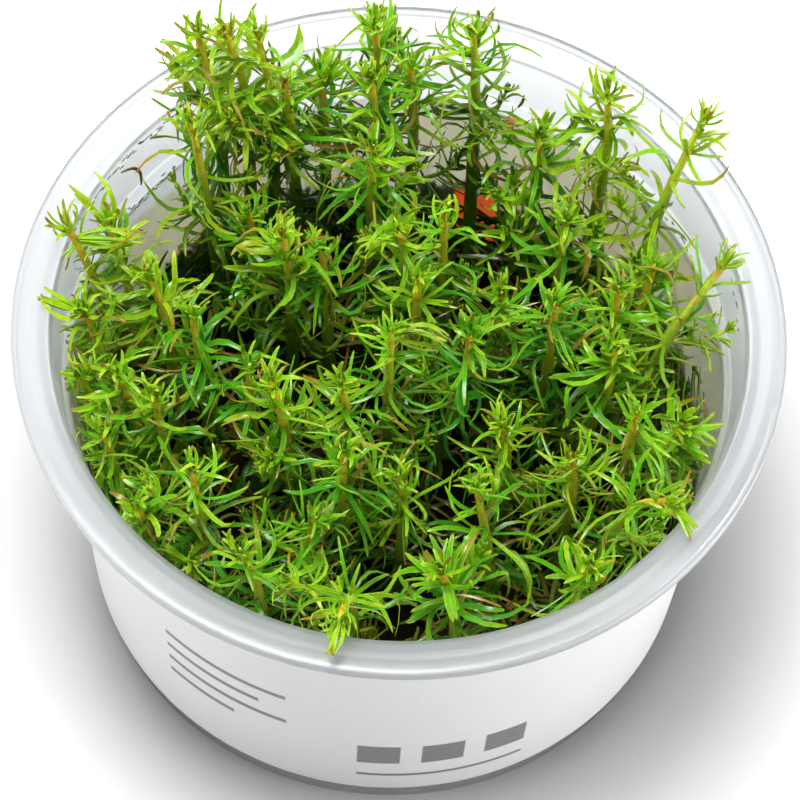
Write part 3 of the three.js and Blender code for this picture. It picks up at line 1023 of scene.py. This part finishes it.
class Foliage:
    """Gathers the leaves of one shoot.

    Each has its base, tip, up, width, bow, hook, sway, twist, fold, age, sort, dry and hue.
    """

    def __init__(self, cup, plant, draw, hue):
        self.cup, self.plant, self.draw, self.hue = cup, plant, draw, hue
        self.broad, self.curly = draw.uniform(*BROADNESS), draw.uniform(*CURLINESS)
        self.rows = []

    def add(self, base, tip, up, depth, thin=False, dry=0.0, age_and_shade=None):
        draw = self.draw
        length = np.linalg.norm(tip - base)
        if length < SHORTEST_LEAF or hides_block(base, tip):
            return
        fullness = min(1.0, 0.6 + 0.5 * length / self.plant.leaf_length)
        width = self.plant.leaf_width * self.broad * draw.uniform(0.7, 1.3) * fullness
        curl = self.curly * np.interp(depth, CURL_DEPTHS, LEAF_CURLS)
        bow = draw.normal(np.interp(depth, BOW_DEPTHS, LEAF_BOWS), curl)
        hook, sway = draw.normal(0, curl), draw.normal(0, curl)
        bow, hook, sway = np.clip((bow, hook, sway), -CURL_LIMIT, CURL_LIMIT)
        if thin:
            width *= THIN_WIDTH
            bow, sway = draw.normal(0.1, 0.25), draw.normal(0, 0.22)
            dry = max(dry, draw.random() ** 4)
        elif draw.random() < DRY_LEAVES:
            dry = draw.uniform(0.4, 1.0)
        if age_and_shade is None:
            # Painted shade: a leaf low in the cup is darkened by its height, besides its depth below the tip.
            shade = (LEAF_SHADE_TOP - base[2]) / LEAF_SHADE_HEIGHT
            age_and_shade = max(depth / LEAF_SHADE_DEPTH, shade) + draw.normal(0, 0.06)
        hue = min(max(self.hue + draw.normal(0, 0.16), 0), 1)
        fold, twist = draw.uniform(0.15, 0.6), draw.normal(0, 0.6)
        age_and_shade = min(max(age_and_shade, 0), 1)
        self.rows.append((base, tip, up, width, bow, hook, sway, twist, fold, age_and_shade, draw.random(), dry, hue))

    def bud(self, stem, dry, age_and_shade):
        """A few short leaves that stand closed round the growing tip."""
        base = stem.at(stem.length - BUD_DEPTH)
        axes = stem.frame(stem.length - 0.5 * MM)
        turn = self.draw.uniform(0, 2 * math.pi)
        for i in range(BUD_LEAVES):
            rise = math.radians(self.draw.uniform(*BUD_RISES))
            length = BUD_LENGTH * self.draw.uniform(0.8, 1.1)
            tip = base + heading_from(axes, turn + i * 2 * math.pi / BUD_LEAVES, rise) * length
            self.add(base, keep_inside(base, tip, self.cup), axes[0], 0, dry=dry, age_and_shade=age_and_shade)

    def fan(self, stem, depth, compass, rise, length, count, dry, spread=6):
        """Leaves that lie side by side, stuck together by water."""
        base = stem.at(stem.length - depth * MM)
        for _ in range(count):
            turn = math.radians(compass + self.draw.normal(0, spread))
            lift = math.radians(rise + self.draw.normal(0, spread))
            heading = level_heading(turn) * math.cos(lift) + UP * math.sin(lift)
            tip = base + heading * length * self.draw.uniform(0.75, 1.0) * MM
            self.add(base, keep_inside(base, tip, self.cup), UP, depth, dry=dry * self.draw.random())

    def whorl(self, stem, distance, depth, count, reach=1.0):
        """A ring of leaves: even round the tip, and further down gathered into a few wet fans."""
        draw = self.draw
        axes = stem.frame(distance)
        centre = stem.at(distance)
        turn = draw.uniform(0, 2 * math.pi)
        fans = count if depth < EVEN_DEPTH else int(draw.integers(2, 5))
        spread = 0.2 if depth < EVEN_DEPTH else draw.uniform(0.12, 0.4)
        loose = np.interp(depth, LOOSE_DEPTHS, LOOSE_RISES)
        rise = np.interp(depth, REACH_DEPTHS, LEAF_RISES)
        reach *= np.interp(depth, REACH_DEPTHS, LEAF_REACHES)
        pitches = [rise + draw.normal(0, loose) for _ in range(fans)]
        headings = [turn + 2 * math.pi * fan / fans + draw.normal(0, 0.3) for fan in range(fans)]
        for i in range(count):
            fan = i % fans
            angle = headings[fan] + draw.normal(0, spread)
            lift = math.radians(pitches[fan] + draw.normal(0, 7))
            thin = depth > EVEN_DEPTH and draw.random() < THIN_LEAVES
            length = self.plant.leaf_length * reach * draw.uniform(0.7, 1.15)
            tip = centre + heading_from(axes, angle, lift) * length
            self.add(centre, keep_inside(centre, tip, self.cup), axes[0], depth, thin)


def bare_share(stem, depth, dropped):
    """Share of whorls without leaves: many have dropped halfway down, few at the foot."""
    height = stem.at(stem.length - depth * MM)[2]
    return BARE_SHARE if depth > BARE_DEPTH and BARE_LOW < height < BARE_HIGH else dropped


def dress_main_stem(foliage, stem, whorls, spacing, dropped):
    """A leaf to every leaf tip of the solid shoot, more in its whorls, and more whorls between them."""
    draw = foliage.draw
    taken = []
    for centre, tips in whorls:
        distance = stem.nearest(centre)
        depth = (stem.length - distance) / MM
        taken.append(depth)
        for tip in tips:
            foliage.add(stem.at(distance), tip, stem.frame(distance)[0], depth)
        if draw.random() > bare_share(stem, depth, dropped):
            foliage.whorl(stem, distance, depth, int(draw.integers(2, 5)))
    depth = 1.7
    while stem.length - depth * MM > 3 * MM:
        free = min(abs(depth - other) for other in taken) > 1.0
        bare = bare_share(stem, depth, max(dropped, DROPPED_BETWEEN))
        if depth < EVEN_DEPTH or (free and draw.random() > bare):
            count = 5 if depth < EVEN_DEPTH else int(draw.integers(5, 8))
            foliage.whorl(stem, stem.length - depth * MM, depth, count)
        depth += spacing / MM * draw.uniform(0.8, 1.4)


def side_shoot(foliage, stem, depth):
    """A short branch that leaves the stem, turns up and carries whorls of its own."""
    draw = foliage.draw
    start = stem.at(stem.length - depth * MM)
    axes = stem.frame(stem.length - depth * MM)
    angle = draw.uniform(0, 2 * math.pi)
    length = min(draw.uniform(7, 12), 0.75 * depth) * MM
    middle = start + heading_from(axes, angle, math.radians(SIDE_SHOOT_RISE)) * length * 0.5
    end = middle + heading_from(axes, angle, math.radians(SIDE_SHOOT_BENT)) * length * 0.6
    branch = Stem([start, middle, keep_inside(middle, end, foliage.cup)])
    foliage.bud(branch, 0.0, draw.uniform(0.2, 0.7))
    below = 1.2
    while branch.length - below * MM > 1.5 * MM:
        foliage.whorl(branch, branch.length - below * MM, below, int(draw.integers(4, 6)), 0.85)
        below += 2.0
    return branch


def leaves_mesh(rows, template, thickness):
    """Joins a bent copy of the template for every leaf: points, and the values the material reads."""
    shape, faces = template
    run, across, rise = shape[:, 0], shape[:, 1], shape[:, 2]
    points, values, polygons = [], [], []
    for i, row in enumerate(rows):
        base, tip, up, width, bow, hook, sway, twist, fold, age_and_shade, sort, dry, hue = row
        ahead = tip - base
        length = np.linalg.norm(ahead)
        ahead = ahead / length
        lift = up - ahead * np.dot(up, ahead)
        if np.linalg.norm(lift) < 0.1:
            lift = np.cross(ahead, [0.3, 1, 0])
        lift /= np.linalg.norm(lift)
        level = np.cross(lift, ahead)
        y = across * width / 2
        z = rise * thickness / 2 + fold * np.abs(across) * width / 2
        angle = twist * run
        arch = 4 * run * (1 - run) * length
        curl = 6.75 * run**2 * (1 - run) * length
        flat = y * np.cos(angle) - z * np.sin(angle) + sway * arch
        tall = y * np.sin(angle) + z * np.cos(angle) + bow * arch + hook * curl
        points.append(base + np.outer(run * length, ahead) + np.outer(flat, level) + np.outer(tall, lift))
        even = [np.full(len(run), value) for value in (age_and_shade, sort, dry, hue)]
        values.append(np.stack([*even, run, np.abs(across)], axis=1))
        polygons += [tuple(corner + i * len(run) for corner in face) for face in faces]
    return np.concatenate(points), np.concatenate(values), polygons


def stem_mesh(stem, whorl_marks, foot_radius, start_age=0.0, sides=8, green=0.0):
    """A round tube along the stem, thinner towards its tip and a little thicker at each whorl.

    It starts orange under the tip where green is 0, and green where it is 1.
    """
    count = max(7, int(stem.length / STEM_RING_SPACING))
    marks = np.linspace(0, stem.length, count)
    points, values, polygons = [], [], []
    for mark in marks:
        depth = (stem.length - mark) / MM
        radius = foot_radius * np.interp(depth, STEM_DEPTHS, STEM_RADII)
        swell = sum(math.exp(-(((mark - place) / KNOT_LENGTH) ** 2)) for place in whorl_marks)
        radius *= 1 + KNOT_SWELL * min(1.0, swell)
        _, side, front = stem.frame(mark)
        turns = np.arange(sides) * 2 * math.pi / sides
        ring = np.outer(np.cos(turns), side) + np.outer(np.sin(turns), front)
        points.append(stem.at(mark) + radius * ring)
        # Painted shade: a stem low in the cup is darkened by its height, besides its depth below the tip.
        shade = (STEM_SHADE_TOP - stem.at(mark)[2]) / STEM_SHADE_HEIGHT
        age_and_shade = min(max(depth / STEM_SHADE_DEPTH, shade, start_age), 1)
        values.append(np.tile([age_and_shade, green, 0.0, 0.5, min(1.0, swell), 1.0], (sides, 1)))
    for ring in range(count - 1):
        for k in range(sides):
            a, b = ring * sides + k, ring * sides + (k + 1) % sides
            polygons.append((a, b, b + sides, a + sides))
    polygons.append(tuple(reversed(range(sides))))
    polygons.append(tuple(range((count - 1) * sides, count * sides)))
    return np.concatenate(points), np.concatenate(values), polygons


def joined(parts):
    """Puts meshes given as points, values and faces into one, with the count of faces of each."""
    points, values, faces, counts = [], [], [], []
    shift = 0
    for part_points, part_values, part_faces in parts:
        points.append(part_points)
        values.append(part_values)
        faces += [tuple(corner + shift for corner in face) for face in part_faces]
        counts.append(len(part_faces))
        shift += len(part_points)
    return np.concatenate(points), np.concatenate(values), faces, counts


# Shed leaves

# Wet leaves on the wall: how many, and in millimetres the height of their ragged upper edge and the least
# height.
CLINGING_LEAVES = 1100
RAGGED_EDGE = 25.5
LEAST_HEIGHT = 12.6

# Dead leaves: how many, how far from the axis, and in millimetres how high above the gel and how clear of it.
DEAD_LEAVES = 520
DEAD_LEAF_SPREAD = 37 * MM
DEAD_LEAF_HEIGHT = 15
OFF_GEL = 0.4

# How far wet leaves climb the wall in millimetres above the ragged edge, by turn from the front in degrees.
CLIMB_TURNS = (-112, -95, -40, -20, 20, 45, 100, 115)
CLIMB_HEIGHTS = (0, 17, 20, 0, 0, 16, 14, 0)

# Dry scraps on the wall: turn and height at both ends in degrees and millimetres, width, and bend sideways.
SCRAPS = (
    (-120.5, 54.8, -124.5, 48.4, 0.5, 0.22),
    (160.5, 51.2, 161.3, 48.4, 0.4, 0.08),
    (-101.0, 56.3, -98.0, 55.9, 0.35, 0.1),
)
SCRAP_CLEARANCE = 0.3 * MM


def inwards_from(point):
    """The level direction from a point to the cup's axis."""
    return -np.array([point[0], point[1], 0]) / math.hypot(point[0], point[1])


def clinging_leaves(cup, plant, draw):
    """Rows for wet leaves that lie flat against the inside of the wall, low in the cup."""
    rows = []
    for _ in range(CLINGING_LEAVES):
        degrees = draw.uniform(-180, 180)
        turn = math.radians(degrees)
        ragged = RAGGED_EDGE + 2.5 * math.sin(3 * turn + 1) + 2 * math.sin(8 * turn)
        raised = np.interp(degrees, CLIMB_TURNS, CLIMB_HEIGHTS)
        ragged += raised
        height = GEL_HIGH.z / MM + (ragged - GEL_HIGH.z / MM) * draw.random() ** 0.8
        lean, length = draw.uniform(0, 2 * math.pi), draw.uniform(4, 8)
        end_height = min(max(height + length * math.sin(lean), LEAST_HEIGHT), ragged + 2)
        end_degrees = degrees + math.degrees(length * math.cos(lean) * MM / cup.base_radius)
        clear = draw.uniform(0.35, 1.0 + 0.2 * raised) * MM
        base, tip = on_wall(cup, degrees, height, clear), on_wall(cup, end_degrees, end_height, clear)
        width = plant.leaf_width * draw.uniform(0.8, 1.6)
        # Painted shade: a clinging leaf is the darker the further below the ragged edge it lies.
        age_and_shade = min(1.0, 0.62 - 0.014 * raised + 0.03 * (ragged - height))
        dry = draw.uniform(0.3, 1.0) if draw.random() < 0.1 else 0.0
        bow, sway = draw.uniform(0, 0.05), draw.normal(0, 0.12)
        sort, hue = draw.random(), draw.random()
        rows.append((base, tip, inwards_from(base), width, bow, 0.0, sway, 0.0, 0.1, age_and_shade, sort, dry, hue))
    return rows


def dead_leaves(cup, plant, draw):
    """Rows for dead brownish leaves caught among the feet of the shoots."""
    rows = []
    for _ in range(DEAD_LEAVES):
        turn, radius = draw.uniform(0, 2 * math.pi), DEAD_LEAF_SPREAD * math.sqrt(draw.random())
        height = GEL_HIGH.z + (OFF_GEL + DEAD_LEAF_HEIGHT * draw.random() ** 1.5) * MM
        base = level_heading(turn) * radius + UP * height
        heading, length = draw.uniform(0, 2 * math.pi), draw.uniform(4, 9) * MM
        rise = max(length * draw.uniform(-0.5, 0.5), GEL_HIGH.z + OFF_GEL * MM - height)
        tip = keep_inside(base, base + level_heading(heading) * length + UP * rise, cup)
        width = plant.leaf_width * draw.uniform(0.6, 1.3)
        bow, hook, sway = draw.normal(0.05, 0.12), draw.normal(0, 0.15), draw.normal(0, 0.12)
        dry = draw.uniform(0.1, 0.65)
        # Nearly the darkest value: partly the leaves' own dull colour, partly painted shade among the feet.
        rows.append((base, tip, UP, width, bow, hook, sway, 0.5, 0.3, 0.95, draw.random(), dry, 0.5))
    return rows


def scraps(cup):
    """Rows for the dry brown scraps high on the wall."""
    rows = []
    for turn, height, end_turn, end_height, width, sway in SCRAPS:
        base = on_wall(cup, turn, height, SCRAP_CLEARANCE)
        tip = on_wall(cup, end_turn, end_height, SCRAP_CLEARANCE)
        rows.append((base, tip, inwards_from(base), width * MM, 0.0, 0.0, sway, 0.3, 0.3, 0.4, 0.5, 1.0, 0.5))
    return rows


def leafy_piece(name, points, values, faces):
    """A piece whose points carry the values that the leaf and stem materials read."""
    piece = mesh_piece(name, points, faces)
    for column, value in enumerate(LEAF_VALUES):
        layer = piece.data.attributes.new(value, "FLOAT", "POINT")
        layer.data.foreach_set("value", values[:, column].astype(np.float32))
    return piece


class GROWCUP_OT_shoots(bpy.types.Operator):
    """Grows a leafy shoot along every solid shoot, with a leaf to each of its leaf tips"""

    bl_idname = "growcup.shoots"
    bl_label = "Leafy Shoots"

    def execute(self, context):
        cup, plant = context.scene.growcup_cup, context.scene.growcup_plant
        template = leaf_template()
        skins = leaf_material(plant), stem_material()
        for number, node in enumerate(SHOOT_NODES):
            self.grow(node, np.random.default_rng(plant.seed * 1000 + number), cup, plant, template, skins)
        self.shed_leaves(cup, plant, template, skins[0])
        return {"FINISHED"}

    def shed_leaves(self, cup, plant, template, skin):
        """Wet leaves low on the wall, dead ones among the feet of the shoots, and dry scraps high up."""
        rows = clinging_leaves(cup, plant, np.random.default_rng(plant.seed))
        rows += dead_leaves(cup, plant, np.random.default_rng(plant.seed + 1))
        rows += scraps(cup)
        points, values, faces = leaves_mesh(rows, template, plant.leaf_thickness)
        piece = leafy_piece("shed_leaves", pull_inside(points, cup), values, faces)
        hand_over(piece, [skin], 50, "leaf")

    def grow(self, node, draw, cup, plant, template, skins):
        place = node.removeprefix("shoot_")
        foot, apex, whorls = shoot_lines(node)
        foot = foot - UP * FOOT_DEPTH
        stem = Stem([foot, *(centre for centre, _ in whorls), apex])
        foliage = Foliage(cup, plant, draw, HUES.get(place, 0.5 + draw.normal(0, 0.1)))
        bud_dry, bud_age = BUDS.get(place, (0.0, draw.uniform(0.1, 0.75)))
        foliage.bud(stem, bud_dry, bud_age)
        dress_main_stem(foliage, stem, whorls, plant.whorl_spacing, DROPPED.get(place, FEW_DROPPED))
        if place in FANS:
            foliage.fan(stem, *FANS[place])
        if abs(apex[0]) > WALL_FAN_OUT and apex[1] < WALL_FAN_BACK and apex[2] < WALL_FAN_HEIGHT:
            outwards = math.degrees(math.atan2(apex[1], apex[0]))
            for depth in WALL_FAN_DEPTHS:
                compass = outwards + draw.normal(0, 35)
                foliage.fan(stem, depth, compass, rise=-2 * depth, length=8.5, count=4, dry=0.1, spread=22)
        marks = [stem.nearest(centre) for centre, _ in whorls]
        curliness = (foliage.curly - CURLINESS[0]) / (CURLINESS[1] - CURLINESS[0])
        green = GREEN_STEMS.get(place, curliness / 2)
        tubes = [stem_mesh(stem, marks, plant.stem_radius, green=green)]
        side_radius = plant.stem_radius * SIDE_SHOOT_RADIUS
        fewest = 2 if place.startswith("back") else 1
        for depth in draw.uniform(*SIDE_SHOOT_DEPTHS, int(draw.integers(fewest, fewest + 2))):
            if stem.length - depth * MM > SIDE_SHOOT_STEM:
                branch = side_shoot(foliage, stem, depth)
                tubes.append(stem_mesh(branch, [], side_radius, start_age=depth / 40, sides=6))
        leaves = leaves_mesh(foliage.rows, template, plant.leaf_thickness)
        points, values, faces, counts = joined([leaves, *tubes])
        piece = leafy_piece("leafy_" + node, pull_inside(points, cup), values, faces)
        hand_over(piece, skins, 50, "leaf", node)
        slots = np.ones(len(faces), dtype=np.int32)
        slots[:counts[0]] = 0
        piece.data.polygons.foreach_set("material_index", slots)


# Stage

# The floor's painted glow, which lightens the floor round and behind the cup: over which distances it grows,
# and from how much to how much. One part goes out from a point a little behind the cup's axis, and the other
# straight back.
GLOW_CENTRE = 14 * MM
GLOW_AROUND = (48 * MM, 84 * MM, 0.0, 0.5)
GLOW_BEHIND = (52 * MM, 85 * MM, 0.0, 0.45)

# How bright the room is by the Y and Z of a direction: over which values it changes, and from which share to
# which.
ROOM_BACK = (-0.6, 0.4, 0.1, 1.0)
ROOM_HEIGHT = (0.25, 0.8, 1.0, 0.32)

# Square soft lights: place, side in metres and power in watts. They face the middle of the plant.
LIGHTS = {
    "key_light": ((-0.12, 0.06, 0.98), 0.36, 10.0),
    "back_light": ((-0.35, 0.85, 0.6), 0.5, 2.8),
    "right_light": ((0.98, -0.2, 0.1), 0.5, 12.0),
    "left_light": ((-0.95, -0.35, 0.3), 0.5, 4.0),
}
PLANT_MIDDLE = (0, 0, 0.04)


class GROWCUP_OT_stage(bpy.types.Operator):
    """Lays the floor, hangs the soft lights and sets the camera"""

    bl_idname = "growcup.stage"
    bl_label = "Studio Stage"

    def execute(self, context):
        stage = context.scene.growcup_stage
        deselect_all()
        bpy.ops.mesh.primitive_plane_add(size=6, location=(0, 0, 0))
        floor = edit_new("studio_floor")
        close_edit()
        floor.data.materials.append(self.floor_material(stage))
        context.scene.world = self.room_light(stage)
        for name, (place, side, power) in LIGHTS.items():
            self.soft_light(name, place, side, power)
        self.camera(context, stage)
        context.scene.view_settings.view_transform = "Standard"
        return {"FINISHED"}

    def floor_material(self, stage):
        """Pale and matt, with a painted glow of its own that grows away from the cup and lightens its shadow.
        """
        nodes = Nodes(bpy.data.materials.new("studio_floor"))
        _, y, _ = nodes.coordinates(nodes.place())
        # Painted light: the glow lifts the cup's shadow on the floor.
        around = nodes.remap(nodes.from_axis(GLOW_CENTRE), *GLOW_AROUND)
        glow = nodes.maths("ADD", nodes.remap(y, *GLOW_BEHIND), around)
        nodes.shade(Base_Color=(*stage.floor_colour, 1), Roughness=0.8)
        nodes.shade(Emission_Color=(1, 1, 1, 1), Emission_Strength=glow)
        nodes.owner.cycles.emission_sampling = "NONE"
        return nodes.owner

    def room_light(self, stage):
        """White walls at the sides and back, dimmer in front and overhead."""
        nodes = Nodes(bpy.data.worlds.new("studio_light"), "Background")
        direction = nodes.add("ShaderNodeTexCoord").outputs["Generated"]
        _, y, z = nodes.coordinates(direction)
        share = nodes.maths("MULTIPLY", nodes.remap(y, *ROOM_BACK), nodes.remap(z, *ROOM_HEIGHT))
        nodes.shade(Color=(1, 1, 1, 1), Strength=nodes.maths("MULTIPLY", share, stage.world_strength))
        return nodes.owner

    def soft_light(self, name, place, side, power):
        lamp = bpy.data.lights.new(name, "AREA")
        lamp.size = side
        lamp.energy = power
        holder = bpy.data.objects.new(name, lamp)
        bpy.context.scene.collection.objects.link(holder)
        holder.location = place
        aim = Vector(PLANT_MIDDLE) - Vector(place)
        holder.rotation_euler = aim.to_track_quat("-Z", "Y").to_euler()

    def camera(self, context, stage):
        """Stands back from the point it looks at, tilted down and turned about its view."""
        lens = bpy.data.cameras.new("photo_camera")
        lens.lens = stage.lens
        lens.sensor_width = 36
        lens.clip_start, lens.clip_end = 0.01, 10
        camera = bpy.data.objects.new("photo_camera", lens)
        context.scene.collection.objects.link(camera)
        tilt = Matrix.Rotation(math.pi / 2 - stage.elevation, 4, "X") @ Matrix.Rotation(stage.roll, 4, "Z")
        away = Matrix.Translation((0, 0, stage.distance))
        camera.matrix_world = Matrix.Translation(stage.target) @ tilt @ away
        context.scene.camera = camera


class GROWCUP_PT_panel(bpy.types.Panel):
    """Lists the steps that build the potted plant"""

    bl_idname = "GROWCUP_PT_panel"
    bl_label = "Growing Cup"
    bl_space_type = "VIEW_3D"
    bl_region_type = "UI"
    bl_category = "Growing Cup"

    def draw(self, context):
        for settings in (context.scene.growcup_cup, context.scene.growcup_plant, context.scene.growcup_stage):
            for name in settings.__annotations__:
                self.layout.prop(settings, name)
        for operator in OPERATORS:
            self.layout.operator(operator.bl_idname)


SETTINGS = {"growcup_cup": CupSettings, "growcup_plant": PlantSettings, "growcup_stage": StageSettings}
OPERATORS = (
    GROWCUP_OT_stage, GROWCUP_OT_cup, GROWCUP_OT_label, GROWCUP_OT_gel, GROWCUP_OT_drops, GROWCUP_OT_shoots
)


def register():
    for cls in (*SETTINGS.values(), *OPERATORS, GROWCUP_PT_panel):
        bpy.utils.register_class(cls)
    for name, settings in SETTINGS.items():
        setattr(bpy.types.Scene, name, bpy.props.PointerProperty(type=settings))


def unregister():
    for name in SETTINGS:
        delattr(bpy.types.Scene, name)
    for cls in reversed((*SETTINGS.values(), *OPERATORS, GROWCUP_PT_panel)):
        bpy.utils.unregister_class(cls)


def main():
    register()
    bpy.ops.growcup.stage()
    bpy.ops.growcup.cup()
    bpy.ops.growcup.label()
    bpy.ops.growcup.gel()
    bpy.ops.growcup.drops()
    bpy.ops.growcup.shoots()


if __name__ == "__main__":
    main()
